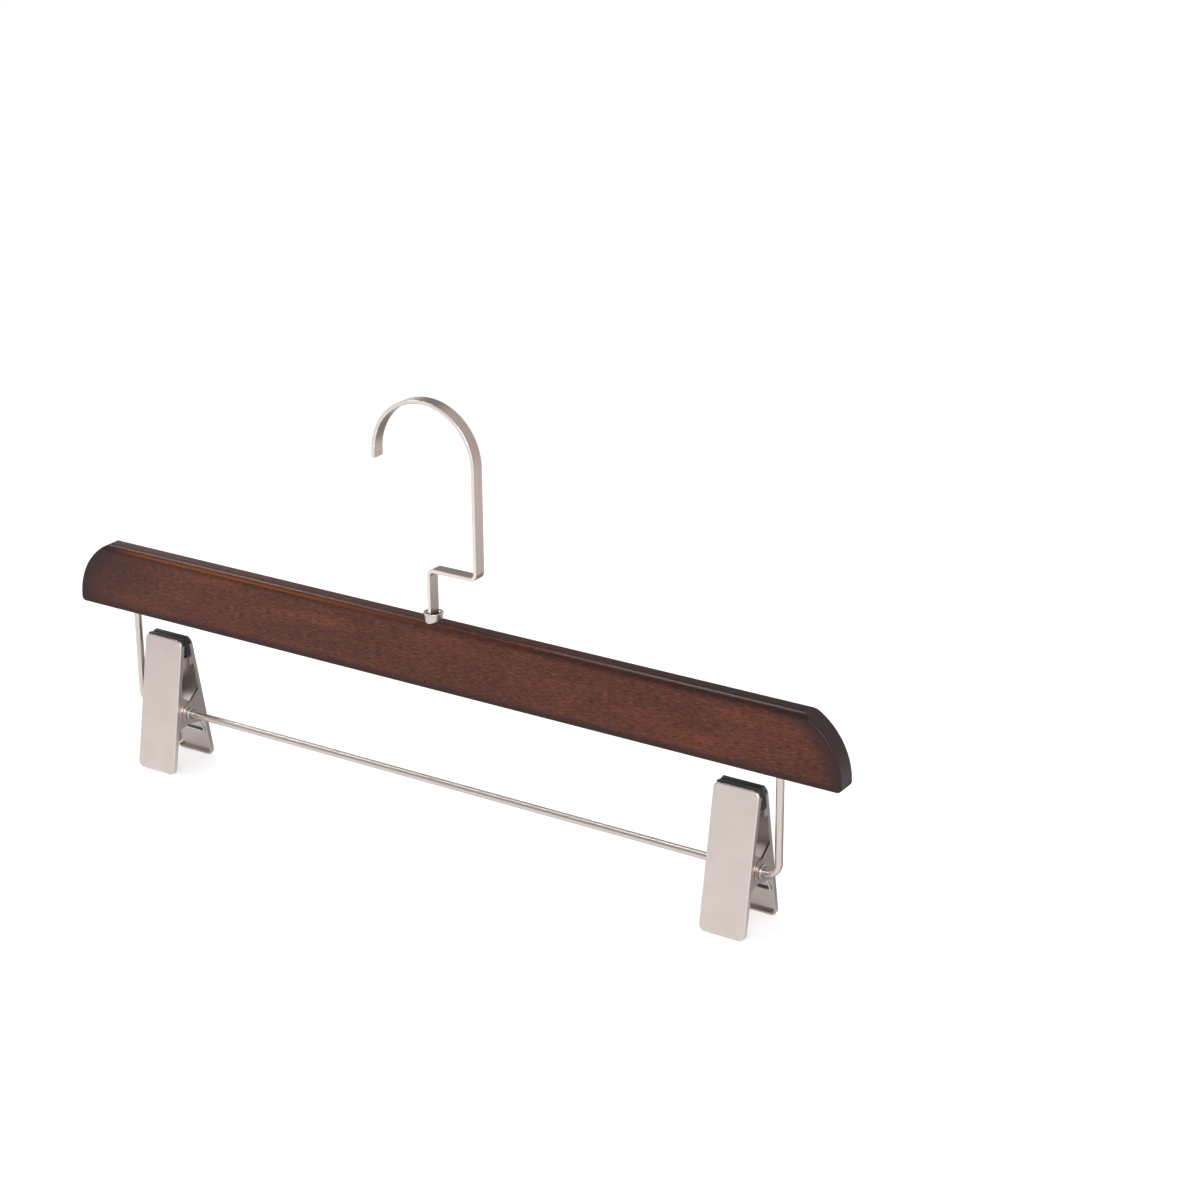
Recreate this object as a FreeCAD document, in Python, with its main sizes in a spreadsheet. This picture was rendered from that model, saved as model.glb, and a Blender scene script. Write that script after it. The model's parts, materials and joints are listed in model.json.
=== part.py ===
"""Skirt hanger: a wooden bar with a swivelling flat hook and two sprung clips that run on a bent wire.

The hanger stands on its clip handles at z = 0, with the bar along X, its front towards -Y and the hook up.
"""
import FreeCAD, Part
import math
import os
import Sketcher

Vector = FreeCAD.Vector

# Driving dimensions, in millimetres unless the name says degrees or count
SIZES = {
    # Wooden bar
    "bar_length": 355.0,
    "bar_height": 27.6,
    "bar_thickness": 9.0,
    "bar_end_margin": 2.5,
    "bar_shoulder_round": 2.0,
    "bar_corner_radius": 2.0,
    "bar_edge_round": 0.8,
    "bar_top_round": 3.0,
    # Hook, a flat strip with a round shank
    "strip_width": 5.5,
    "strip_thickness": 1.5,
    "strip_edge_round": 0.3,
    "crank_height": 20.4,
    "crank_reach": 21.5,
    "crank_inner_radius": 1.6,
    "hook_radius": 22.75,
    "hook_centre_height": 63.4,
    "hook_tip_length": 2.5,
    "shank_radius": 1.7,
    "shank_head_radius": 2.4,
    "shank_head_height": 1.2,
    "neck_height": 1.6,
    # Ferrule in the top of the bar
    "sleeve_radius": 2.7,
    "sleeve_length": 11.0,
    "collar_radius": 3.6,
    "collar_height": 1.95,
    "collar_sink": 0.95,
    "rim_radius": 3.9,
    "rim_height": 2.9,
    "flare_height": 0.25,
    "cup_wall": 0.5,
    "cup_floor": 0.6,
    # Wire and the height that it hangs below the bar
    "wire_radius": 1.5,
    "wire_drop": 40.9,
    "wire_leg_inset": 26.5,
    "wire_bend_radius": 5.0,
    "wire_insert": 14.0,
    # Clip plates
    "plate_width": 19.0,
    "plate_length": 57.0,
    "plate_corner_radius": 2.5,
    "sheet_thickness": 0.8,
    "lip_depth": 2.2,
    "fold_round": 0.6,
    "handle_length": 25.0,
    "pivot_depth": 9.1,
    "jaw_tilt_degrees": 10.25,
    "ear_radius": 4.4,
    "ear_rise": 9.0,
    "ear_fall": 8.0,
    "pad_stop_depth": 4.4,
    "pad_stop_height": 3.4,
    # Rubber pads
    "pad_height": 8.0,
    "pad_rise": 0.4,
    "rib_depth": 0.5,
    "rib_count": 5,
    # Hollow rivet of each clip
    "tube_radius": 2.1,
    "tube_bore_radius": 1.58,
    "tube_head_radius": 2.9,
    "tube_head_thickness": 0.5,
    # Double torsion spring
    "spring_wire": 1.0,
    "spring_pitch": 1.5,
    "spring_turns_count": 2,
    "spring_leg_drop": 14.0,
    "spring_bend_radius": 1.3,
    # Clearances
    "glue_gap": 0.05,
    "shank_clearance": 0.05,
    "head_clearance": 0.15,
    "rivet_clearance": 0.05,
    "ear_gap": 0.15,
    "pad_gap": 0.2,
    "pad_side_gap": 0.1,
    "spring_gap": 0.35,
    "spring_seat_gap": 0.1,
    "clip_end_gap": 1.0,
}

# Places worked out from the driving dimensions
PLACES = {
    "tilt_cos": "cos(Sizes.jaw_tilt_degrees * 1deg)",
    "tilt_sin": "sin(Sizes.jaw_tilt_degrees * 1deg)",
    "pivot_height": "Sizes.handle_length * tilt_cos - (Sizes.pivot_depth - Sizes.lip_depth) * tilt_sin",
    "bar_bottom": "pivot_height + Sizes.wire_drop",
    "bar_top": "bar_bottom + Sizes.bar_height",
    "end_radius": "Sizes.bar_height - Sizes.bar_corner_radius + Sizes.bar_end_margin",
    "end_centre": "Sizes.bar_length / 2 - end_radius",
    "shoulder_rise": "Sizes.bar_height - Sizes.bar_corner_radius - Sizes.bar_shoulder_round",
    "shoulder_reach": "sqrt((shoulder_rise + Sizes.bar_end_margin)^2 - shoulder_rise^2)",
    "shoulder_spread": "end_radius / (end_radius - Sizes.bar_shoulder_round)",
    "clip_half": "Sizes.plate_width / 2 + Sizes.ear_gap + Sizes.tube_head_thickness",
    "wire_leg_place": "Sizes.bar_length / 2 - Sizes.wire_leg_inset",
    "clip_place": "wire_leg_place - Sizes.wire_bend_radius - Sizes.clip_end_gap - clip_half",
    "jaw_length": "Sizes.plate_length - Sizes.handle_length",
    "head_bottom": "-(Sizes.sleeve_length + Sizes.head_clearance + Sizes.shank_head_height)",
    "strip_start": "Sizes.cup_floor + Sizes.head_clearance",
}


def add_sheet(doc, name, cells):
    """A spreadsheet with one aliased cell for each name."""
    sheet = doc.addObject("Spreadsheet::Sheet", name)
    for row, (alias, content) in enumerate(cells.items(), start=1):
        sheet.set(f"A{row}", alias)
        sheet.set(f"B{row}", content)
        sheet.setAlias(f"B{row}", alias)
    return sheet


doc = FreeCAD.newDocument("SkirtHanger")
sizes = add_sheet(doc, "Sizes", {name: str(value) for name, value in SIZES.items()})
places = add_sheet(doc, "Places", {name: "=" + formula for name, formula in PLACES.items()})
doc.recompute()


def value(expression):
    """The number that an expression gives with the present sizes."""
    return float(sizes.evalExpression(expression))


def new_body(label, placement=None):
    """A body with its own label, placed by an expression."""
    body = doc.addObject("PartDesign::Body", label)
    body.Label = label
    if placement:
        body.setExpression("Placement", placement)
    return body


def new_sketch(body, name, role, offset=None):
    """A sketch on one of the body's origin planes, moved along the plane's normal by an expression."""
    sketch = body.newObject("Sketcher::SketchObject", f"{body.Label}_{name}")
    plane = next(feature for feature in body.Origin.OriginFeatures if feature.Role == role)
    sketch.AttachmentSupport = [(plane, "")]
    sketch.MapMode = "FlatFace"
    if offset:
        sketch.setExpression("AttachmentOffset.Base.z", offset)
    return sketch


def constrain(sketch, *constraint, expression=None):
    """Add a constraint and tie its size to an expression."""
    index = sketch.addConstraint(Sketcher.Constraint(*constraint))
    if expression:
        sketch.setExpression(f"Constraints[{index}]", expression)


def arc_between(start, end, radius, turn):
    """The arc of under a half circle from start to end, turning left (1) or right (-1)."""
    chord = end - start
    middle = (start + end) * 0.5
    side = Vector(-chord.y, chord.x, 0).normalize() * turn
    centre = middle + side * math.sqrt(max(radius**2 - (chord.Length / 2) ** 2, 0.0))
    first, last = (start, end) if turn > 0 else (end, start)
    first_angle = math.atan2(first.y - centre.y, first.x - centre.x)
    last_angle = math.atan2(last.y - centre.y, last.x - centre.x)
    return Part.ArcOfCircle(Part.Circle(centre, Vector(0, 0, 1), radius), first_angle, last_angle)


def add_outline(sketch, corners, closed=True):
    """Lines and arcs through the corners: (x, y), or (x, y, radius, turn) for an arc to the next."""
    points = [Vector(value(corner[0]), value(corner[1]), 0) for corner in corners]
    count = len(corners) if closed else len(corners) - 1
    ends = []
    for index in range(count):
        start, end = points[index], points[(index + 1) % len(points)]
        corner = corners[index]
        if len(corner) == 2:
            geometry = sketch.addGeometry(Part.LineSegment(start, end), False)
            ends.append((geometry, 1, 2))
        else:
            geometry = sketch.addGeometry(arc_between(start, end, value(corner[2]), corner[3]), False)
            ends.append((geometry, 1, 2) if corner[3] > 0 else (geometry, 2, 1))
    for index in range(count if closed else count - 1):
        here, after = ends[index], ends[(index + 1) % count]
        constrain(sketch, "Coincident", here[0], here[2], after[0], after[1])
    for index, corner in enumerate(corners):
        geometry, position = (ends[index][0], ends[index][1]) if index < count else (ends[-1][0], ends[-1][2])
        constrain(sketch, "DistanceX", -1, 1, geometry, position, points[index].x, expression=corner[0])
        constrain(sketch, "DistanceY", -1, 1, geometry, position, points[index].y, expression=corner[1])
        if index < count and len(corner) > 2:
            constrain(sketch, "Radius", geometry, value(corner[2]), expression=corner[2])


def add_circle(sketch, x, y, radius):
    """A circle with its centre and radius tied to expressions."""
    centre = Vector(value(x), value(y), 0)
    geometry = sketch.addGeometry(Part.Circle(centre, Vector(0, 0, 1), value(radius)), False)
    constrain(sketch, "DistanceX", -1, 1, geometry, 3, centre.x, expression=x)
    constrain(sketch, "DistanceY", -1, 1, geometry, 3, centre.y, expression=y)
    constrain(sketch, "Radius", geometry, value(radius), expression=radius)


def add_feature(body, kind, name, sketch, length=None, symmetric=False, reverse=False):
    """A pad, pocket or revolution of a sketch, which has to change the body's volume."""
    before = body.Shape.Volume if body.Tip else 0.0
    feature = body.newObject(f"PartDesign::{kind}", f"{body.Label}_{name}")
    feature.Profile = sketch
    if length:
        feature.setExpression("Length", length)
    if symmetric:
        feature.SideType = "Symmetric"
    feature.Reversed = reverse
    if kind == "Revolution":
        feature.ReferenceAxis = (sketch, ["V_Axis"])
    doc.recompute()
    if abs(feature.Shape.Volume - before) < 1e-6:
        raise RuntimeError(f"{feature.Label} changes nothing")
    return feature


def add_fillet(body, base, radius, chosen):
    """A fillet on the edges of base that a test chooses."""
    names = [f"Edge{number}" for number, edge in enumerate(base.Shape.Edges, start=1) if chosen(edge)]
    fillet = body.newObject("PartDesign::Fillet", f"{body.Label}_Fillet")
    fillet.Base = (base, names)
    fillet.setExpression("Radius", radius)
    doc.recompute()
    return fillet


def lies_on_y(edge, places_on_y):
    """Whether an edge lies in one of the planes across Y."""
    box = edge.BoundBox
    return any(abs(box.YMin - y) < 1e-5 and abs(box.YMax - y) < 1e-5 for y in places_on_y)


def make_bar():
    """Bar with arched ends and a rounded top, the hook's stepped hole and the blind holes for the wire."""
    body = new_body("wooden_bar", "placement(vector(0; 0; Places.bar_bottom); rotation(vector(0; 0; 1); 0))")
    outline = new_sketch(body, "Outline", "XZ_Plane")
    half, corner = "Sizes.bar_length / 2", "Sizes.bar_corner_radius"
    end, shoulder = "Places.end_radius", "Sizes.bar_shoulder_round"
    top_x = "Places.end_centre + Places.shoulder_reach"
    shoulder_x = "Places.end_centre + Places.shoulder_reach * Places.shoulder_spread"
    shoulder_z = f"{corner} + Places.shoulder_rise * Places.shoulder_spread"
    add_outline(outline, [
        (f"-({half} - {corner})", "0"),
        (f"{half} - {corner}", "0", corner, 1),
        (half, corner, end, 1),
        (shoulder_x, shoulder_z, shoulder, 1),
        (top_x, "Sizes.bar_height"),
        (f"-({top_x})", "Sizes.bar_height", shoulder, 1),
        (f"-({shoulder_x})", shoulder_z, end, 1),
        (f"-{half}", corner, corner, 1),
    ])
    pad = add_feature(body, "Pad", "Board", outline, "Sizes.bar_thickness", symmetric=True)
    faces = [sign * value("Sizes.bar_thickness") / 2 for sign in (-1, 1)]
    add_fillet(body, pad, "Sizes.bar_edge_round", lambda edge: lies_on_y(edge, faces))
    long_rounds = new_sketch(body, "LongRounds", "YZ_Plane")
    side, top, top_round = "Sizes.bar_thickness / 2", "Sizes.bar_height", "Sizes.bar_top_round"
    add_outline(long_rounds, [
        (f"-({side} - {top_round})", top, top_round, 1),
        (f"-{side}", f"{top} - {top_round}"),
        (f"-{side}", top),
    ])
    add_outline(long_rounds, [
        (side, f"{top} - {top_round}", top_round, 1),
        (f"{side} - {top_round}", top),
        (side, top),
    ])
    add_feature(body, "Pocket", "RoundedTop", long_rounds, "Sizes.bar_length", symmetric=True)
    hook_hole = new_sketch(body, "HookHole", "XY_Plane", "Sizes.bar_height")
    add_circle(hook_hole, "0", "0", "Sizes.sleeve_radius + Sizes.glue_gap")
    add_feature(body, "Pocket", "HookBore", hook_hole, "-Places.head_bottom + Sizes.head_clearance")
    collar_seat = new_sketch(body, "CollarSeat", "XY_Plane", "Sizes.bar_height")
    add_circle(collar_seat, "0", "0", "Sizes.collar_radius + Sizes.glue_gap")
    add_feature(body, "Pocket", "CollarBore", collar_seat, "Sizes.collar_sink")
    wire_holes = new_sketch(body, "WireHoles", "XY_Plane")
    for sign in ("", "-"):
        add_circle(wire_holes, f"{sign}Places.wire_leg_place", "0", "Sizes.wire_radius + Sizes.glue_gap")
    add_feature(body, "Pocket", "WireBores", wire_holes, "Sizes.wire_insert", reverse=True)
    return body


def make_ferrule():
    """Flared cup sunk a little into the bar's top, with its sleeve in the hook's hole."""
    body = new_body("hook_ferrule", "placement(vector(0; 0; Places.bar_top); rotation(vector(0; 0; 1); 0))")
    section = new_sketch(body, "Section", "XZ_Plane")
    bore = "Sizes.shank_radius + Sizes.shank_clearance"
    cup = "Sizes.collar_radius - Sizes.cup_wall"
    mouth = "Sizes.rim_radius - Sizes.cup_wall"
    flare_top = "Sizes.collar_height + Sizes.flare_height"
    lip = "Sizes.rim_height - Sizes.cup_wall / 2"
    rim_middle = "Sizes.rim_radius - Sizes.cup_wall / 2"
    add_outline(section, [
        (bore, "-Sizes.sleeve_length"),
        ("Sizes.sleeve_radius", "-Sizes.sleeve_length"),
        ("Sizes.sleeve_radius", "-Sizes.collar_sink"),
        ("Sizes.collar_radius", "-Sizes.collar_sink"),
        ("Sizes.collar_radius", "Sizes.collar_height"),
        ("Sizes.rim_radius", flare_top),
        ("Sizes.rim_radius", lip, "Sizes.cup_wall / 2", 1),
        (rim_middle, "Sizes.rim_height", "Sizes.cup_wall / 2", 1),
        (mouth, lip),
        (mouth, flare_top),
        (cup, "Sizes.collar_height"),
        (cup, "Sizes.cup_floor"),
        (bore, "Sizes.cup_floor"),
    ])
    add_feature(body, "Revolution", "Turned", section)
    return body


def make_hook():
    """Flat strip with a crank and a round seat, necked to a round shank that is headed under the sleeve."""
    body = new_body("hook", "placement(vector(0; 0; Places.bar_top); rotation(vector(0; 0; 1); 0))")
    strip = new_sketch(body, "Strip", "XZ_Plane")
    half = "Sizes.strip_thickness / 2"
    inner = "Sizes.crank_inner_radius"
    outer = "(Sizes.crank_inner_radius + Sizes.strip_thickness)"
    reach, level = "Sizes.crank_reach", "Sizes.crank_height"
    radius, centre = "Sizes.hook_radius", "Sizes.hook_centre_height"
    tip = f"{centre} - Sizes.hook_tip_length"
    far = f"{reach} - 2 * {radius}"
    add_outline(strip, [
        (half, "Places.strip_start"),
        (half, f"{level} - {half} - {inner}", inner, -1),
        (f"{half} + {inner}", f"{level} - {half}"),
        (f"{reach} + {half} - {outer}", f"{level} - {half}", outer, 1),
        (f"{reach} + {half}", f"{level} - {half} + {outer}"),
        (f"{reach} + {half}", centre, f"{radius} + {half}", 1),
        (f"{reach} - {radius}", f"{centre} + {radius} + {half}", f"{radius} + {half}", 1),
        (f"{far} - {half}", centre),
        (f"{far} - {half}", tip),
        (f"{far} + {half}", tip),
        (f"{far} + {half}", centre, f"{radius} - {half}", -1),
        (f"{reach} - {radius}", f"{centre} + {radius} - {half}", f"{radius} - {half}", -1),
        (f"{reach} - {half}", centre),
        (f"{reach} - {half}", f"{level} + {half} + {inner}", inner, -1),
        (f"{reach} - {half} - {inner}", f"{level} + {half}"),
        (f"-{half} + {outer}", f"{level} + {half}", outer, 1),
        (f"-{half}", f"{level} + {half} - {outer}"),
        (f"-{half}", "Places.strip_start"),
    ])
    pad = add_feature(body, "Pad", "Bent", strip, "Sizes.strip_width", symmetric=True)
    faces = [sign * value("Sizes.strip_width") / 2 for sign in (-1, 1)]
    start = value("Places.strip_start")
    add_fillet(body, pad, "Sizes.strip_edge_round",
               lambda edge: lies_on_y(edge, faces) and edge.BoundBox.ZMax > start + 1e-4)
    neck = new_sketch(body, "Neck", "YZ_Plane")
    for sign, turned in (("", 1), ("-", -1)):
        side = f"{sign}(Sizes.strip_width / 2 + Sizes.cup_wall)"
        shoulder = [
            (f"{sign}Sizes.shank_radius", "Places.strip_start - Sizes.cup_floor"),
            (side, "Places.strip_start - Sizes.cup_floor"),
            (side, "Places.strip_start + Sizes.neck_height"),
            (f"{sign}(Sizes.strip_width / 2)", "Places.strip_start + Sizes.neck_height"),
            (f"{sign}Sizes.shank_radius", "Places.strip_start"),
        ]
        add_outline(neck, shoulder[::turned])
    add_feature(body, "Pocket", "Shoulders", neck, "4 * Sizes.strip_thickness", symmetric=True)
    shank = new_sketch(body, "Shank", "XZ_Plane")
    head_top = "Places.head_bottom + Sizes.shank_head_height"
    shank_top = "Places.strip_start + Sizes.neck_height / 2"
    add_outline(shank, [
        ("0", "Places.head_bottom"),
        ("Sizes.shank_head_radius", "Places.head_bottom"),
        ("Sizes.shank_head_radius", head_top),
        ("Sizes.shank_radius", head_top),
        ("Sizes.shank_radius", shank_top),
        ("0", shank_top),
    ])
    add_feature(body, "Revolution", "Headed", shank)
    return body


def make_wire():
    """Round wire bent into a flat U, with both ends up in the bar."""
    seat = "placement(vector(0; 0; Places.pivot_height); rotation(vector(0; 0; 1); 0))"
    body = new_body("wire_frame", seat)
    path = new_sketch(body, "Path", "XZ_Plane")
    leg, bend = "Places.wire_leg_place", "Sizes.wire_bend_radius"
    top = "Sizes.wire_drop + Sizes.wire_insert"
    add_outline(path, [
        (f"-{leg}", top),
        (f"-{leg}", bend, bend, 1),
        (f"-{leg} + {bend}", "0"),
        (f"{leg} - {bend}", "0", bend, 1),
        (leg, bend),
        (leg, top),
    ], closed=False)
    section = new_sketch(body, "Section", "XY_Plane", top)
    add_circle(section, f"-{leg}", "0", "Sizes.wire_radius")
    pipe = body.newObject("PartDesign::AdditivePipe", "wire_frame_Bent")
    pipe.Profile = section
    pipe.Spine = path
    doc.recompute()
    return body


def clip_placement(side, turned):
    """Where a clip's piece stands: on the wire, tilted, and turned about Z where it is the front one."""
    turn = "rotation(vector(0; 0; 1); 180) * " if turned else ""
    place = f"vector({side}Places.clip_place; 0; Places.pivot_height)"
    return f"placement({place}; {turn}rotation(vector(1; 0; 0); Sizes.jaw_tilt_degrees))"


def add_ear(body, name, inset):
    """Two ears from the plate to the pivot, set in from the plate's sides."""
    base = "Sizes.pivot_depth - Sizes.sheet_thickness / 2"
    starts = (f"Sizes.plate_width / 2 - Sizes.sheet_thickness - {inset}", f"-Sizes.plate_width / 2 + {inset}")
    for number, start in enumerate(starts, start=1):
        sketch = new_sketch(body, f"{name}{number}", "YZ_Plane", start)
        add_ear_outline(sketch, base)
        add_feature(body, "Pad", f"{name}Pad{number}", sketch, "Sizes.sheet_thickness")


def add_ear_outline(sketch, base):
    """Ear round the pivot, with straight sides that run from the plate to touch its round end."""
    radius = value("Sizes.ear_radius")
    low = Vector(value(base), -value("Sizes.ear_fall"), 0)
    high = Vector(value(base), value("Sizes.ear_rise"), 0)
    low_angle = math.atan2(low.y, low.x) - math.acos(radius / low.Length)
    high_angle = math.atan2(high.y, high.x) + math.acos(radius / high.Length)
    low_touch = Vector(radius * math.cos(low_angle), radius * math.sin(low_angle), 0)
    high_touch = Vector(radius * math.cos(high_angle), radius * math.sin(high_angle), 0)
    circle = Part.Circle(Vector(0, 0, 0), Vector(0, 0, 1), radius)
    root = sketch.addGeometry(Part.LineSegment(low, high), False)
    upper = sketch.addGeometry(Part.LineSegment(high, high_touch), False)
    arc = sketch.addGeometry(Part.ArcOfCircle(circle, high_angle, low_angle + 2 * math.pi), False)
    lower = sketch.addGeometry(Part.LineSegment(low_touch, low), False)
    constrain(sketch, "Coincident", root, 2, upper, 1)
    constrain(sketch, "Tangent", upper, 2, arc, 1)
    constrain(sketch, "Tangent", arc, 2, lower, 1)
    constrain(sketch, "Coincident", lower, 2, root, 1)
    constrain(sketch, "Coincident", arc, 3, -1, 1)
    constrain(sketch, "Radius", arc, radius, expression="Sizes.ear_radius")
    for position, height in ((1, "-Sizes.ear_fall"), (2, "Sizes.ear_rise")):
        constrain(sketch, "DistanceX", -1, 1, root, position, low.x, expression=base)
        constrain(sketch, "DistanceY", -1, 1, root, position, value(height), expression=height)


def make_jaw(label, side, front):
    """Stamped plate with a lip on three sides and two ears; the back one has outer ears and pad stops."""
    body = new_body(label, clip_placement(side, front))
    half, sheet = "Sizes.plate_width / 2", "Sizes.sheet_thickness"
    corner = "Sizes.plate_corner_radius"
    foot, top = "-Sizes.handle_length", "Places.jaw_length"
    face = new_sketch(body, "Face", "XZ_Plane", "-Sizes.pivot_depth")
    add_outline(face, [
        (f"-{half} + {corner}", foot),
        (f"{half} - {corner}", foot, corner, 1),
        (half, f"{foot} + {corner}"),
        (half, f"{top} - {corner}", corner, 1),
        (f"{half} - {corner}", top),
        (f"-{half} + {corner}", top, corner, 1),
        (f"-{half}", f"{top} - {corner}"),
        (f"-{half}", f"{foot} + {corner}", corner, 1),
    ])
    plate = add_feature(body, "Pad", "Plate", face, "Sizes.lip_depth")
    add_fillet(body, plate, "Sizes.fold_round", lambda edge: lies_on_y(edge, [value("Sizes.pivot_depth")]))
    hollow = new_sketch(body, "Hollow", "XZ_Plane", f"-(Sizes.pivot_depth - {sheet})")
    inside, inner_corner = f"{half} - {sheet}", f"({corner} - {sheet})"
    add_outline(hollow, [
        (f"-({inside}) + {inner_corner}", f"{foot} + {sheet}"),
        (f"{inside} - {inner_corner}", f"{foot} + {sheet}", inner_corner, 1),
        (inside, f"{foot} + {corner}"),
        (inside, f"{top} - {corner}"),
        (f"{half} + {sheet}", f"{top} - {corner}"),
        (f"{half} + {sheet}", f"{top} + {sheet}"),
        (f"-({half} + {sheet})", f"{top} + {sheet}"),
        (f"-({half} + {sheet})", f"{top} - {corner}"),
        (f"-({inside})", f"{top} - {corner}"),
        (f"-({inside})", f"{foot} + {corner}", inner_corner, 1),
    ])
    add_feature(body, "Pocket", "Tray", hollow, "Sizes.lip_depth", reverse=True)
    add_ear(body, "Ear", f"({sheet} + Sizes.ear_gap)" if front else "0")
    if not front:
        add_pad_stops(body)
    hole = new_sketch(body, "PivotHole", "YZ_Plane")
    add_circle(hole, "0", "0", "Sizes.tube_radius + Sizes.rivet_clearance")
    add_feature(body, "Pocket", "PivotBore", hole, "2 * Sizes.plate_width", symmetric=True)
    return body


def add_pad_stops(body):
    """Tongues of the side lips that hold the pad up from below."""
    sheet, depth = "Sizes.sheet_thickness", "Sizes.pivot_depth"
    upper = "Places.jaw_length - Sizes.pad_height - Sizes.pad_side_gap"
    starts = (f"Sizes.plate_width / 2 - {sheet}", "-Sizes.plate_width / 2")
    for number, start in enumerate(starts, start=1):
        sketch = new_sketch(body, f"Stop{number}", "YZ_Plane", start)
        add_outline(sketch, [
            (f"{depth} - Sizes.pad_stop_depth", f"{upper} - Sizes.pad_stop_height"),
            (f"{depth} - {sheet} / 2", f"{upper} - Sizes.pad_stop_height"),
            (f"{depth} - {sheet} / 2", upper),
            (f"{depth} - Sizes.pad_stop_depth", upper),
        ])
        add_feature(body, "Pad", f"StopPad{number}", sketch, sheet)


def make_pad(label, side, front):
    """Rubber pad seated on the plate; its ribbed face meets the other pad upright when the clip is shut."""
    body = new_body(label, clip_placement(side, front))
    profile = new_sketch(body, "Profile", "YZ_Plane")
    seat = "Sizes.pivot_depth - Sizes.sheet_thickness"
    foot = "Places.jaw_length - Sizes.pad_height"
    top = "Places.jaw_length + Sizes.pad_rise"
    count = round(value("Sizes.rib_count"))

    def crest(height):
        return f"(Sizes.pad_gap / 2 + ({height}) * Places.tilt_sin) / Places.tilt_cos"

    corners = [(seat, top)]
    for step in range(2 * count, -1, -1):
        height = f"{foot} + (Sizes.pad_height + Sizes.pad_rise) * {step} / (2 * Sizes.rib_count)"
        root = " + Sizes.rib_depth" if step % 2 else ""
        corners.append((crest(height) + root, height))
    corners.append((seat, foot))
    add_outline(profile, corners)
    width = "Sizes.plate_width - 2 * (Sizes.sheet_thickness + Sizes.pad_side_gap)"
    add_feature(body, "Pad", "Rubber", profile, width, symmetric=True)
    return body


def make_tube(label, side):
    """Hollow rivet with a rounded head outside each outer ear, open for the wire."""
    place = f"vector({side}Places.clip_place; 0; Places.pivot_height)"
    body = new_body(label, f"placement({place}; rotation(vector(0; 1; 0); 90))")
    section = new_sketch(body, "Section", "XZ_Plane")
    end = "Places.clip_half"
    under = "(Places.clip_half - Sizes.tube_head_thickness)"
    bore, tube, head = "Sizes.tube_bore_radius", "Sizes.tube_radius", "Sizes.tube_head_radius"
    round_over = "Sizes.tube_head_thickness"
    add_outline(section, [
        (bore, f"-{end}"),
        (f"{head} - {round_over}", f"-{end}", round_over, 1),
        (head, f"-{under}"),
        (tube, f"-{under}"),
        (tube, under),
        (head, under, round_over, 1),
        (f"{head} - {round_over}", end),
        (bore, end),
    ])
    add_feature(body, "Revolution", "Turned", section)
    return body


def biarc(start, start_way, end, end_way):
    """Two arcs that join two points of a curve, each touching the curve's direction there."""
    gap, ways = end - start, start_way + end_way
    bend = 2 * (start_way.dot(end_way) - 1)
    along = -2 * gap.dot(ways)
    reach = (-along - math.sqrt(along**2 - 4 * bend * gap.dot(gap))) / (2 * bend)
    if reach <= 0:
        reach = (-along + math.sqrt(along**2 - 4 * bend * gap.dot(gap))) / (2 * bend)
    first, second = start + start_way * reach, end - end_way * reach
    joint = (first + second) * 0.5
    return [tangent_arc(start, first, joint), tangent_arc(joint, second, end)]


def tangent_arc(start, apex, end):
    """The arc from start to end whose tangents there meet at apex, equally far from both."""
    middle = (start + end) * 0.5
    rise = apex - middle
    half = (end - start).Length / 2
    sagitta = half * math.tan(math.atan2(rise.Length, half) / 2)
    return Part.Arc(start, middle + rise.normalize() * sagitta, end).toShape()


def spring_half(size):
    """Edges of one half of the spring, from the middle of its cross bar to its free end."""
    tilt = math.radians(size["jaw_tilt_degrees"])
    wire = size["spring_wire"]
    coil = size["tube_radius"] + size["spring_gap"] + wire / 2
    out = size["pivot_depth"] - size["sheet_thickness"] - size["spring_seat_gap"] - wire / 2
    drop = size["spring_leg_drop"]
    seat_y = out * math.cos(tilt) + drop * math.sin(tilt)
    seat_z = out * math.sin(tilt) - drop * math.cos(tilt)
    touch = math.atan2(seat_z, seat_y) + math.acos(coil / math.hypot(seat_y, seat_z))
    sweep = math.pi - 2 * touch + 2 * math.pi * size["spring_turns_count"]
    climb = size["spring_pitch"] / (2 * math.pi)
    leg = math.hypot(seat_y - coil * math.cos(touch), seat_z - coil * math.sin(touch))
    corner_x = size["plate_width"] / 2 - size["sheet_thickness"] - size["spring_gap"] - wire / 2
    start_x = corner_x - leg / coil * climb

    def on_coil(angle):
        return Vector(start_x - (angle - touch) * climb, coil * math.cos(angle), coil * math.sin(angle))

    def way(angle):
        return Vector(-climb, -coil * math.sin(angle), coil * math.cos(angle)).normalize()

    steps = math.ceil(sweep / (math.pi / 2))
    angles = [touch + sweep * step / steps for step in range(steps + 1)]
    flat = math.hypot(way(touch).y, way(touch).z)
    seat = on_coil(touch) - way(touch) * (leg / flat)
    free = on_coil(angles[-1]) + way(angles[-1]) * (leg / flat)
    bend = size["spring_bend_radius"]
    up = way(touch)
    across = Vector(1, 0, 0)
    cut = bend * math.tan(math.acos(across.dot(up)) / 2)
    bend_start, bend_end = seat - across * cut, seat + up * cut
    edges = [Part.LineSegment(Vector(0, seat.y, seat.z), bend_start).toShape()]
    edges.append(tangent_arc(bend_start, seat, bend_end))
    edges.append(Part.LineSegment(bend_end, on_coil(touch)).toShape())
    for first, last in zip(angles, angles[1:]):
        edges += biarc(on_coil(first), way(first), on_coil(last), way(last))
    edges.append(Part.LineSegment(on_coil(angles[-1]), free).toShape())
    return edges


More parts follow.
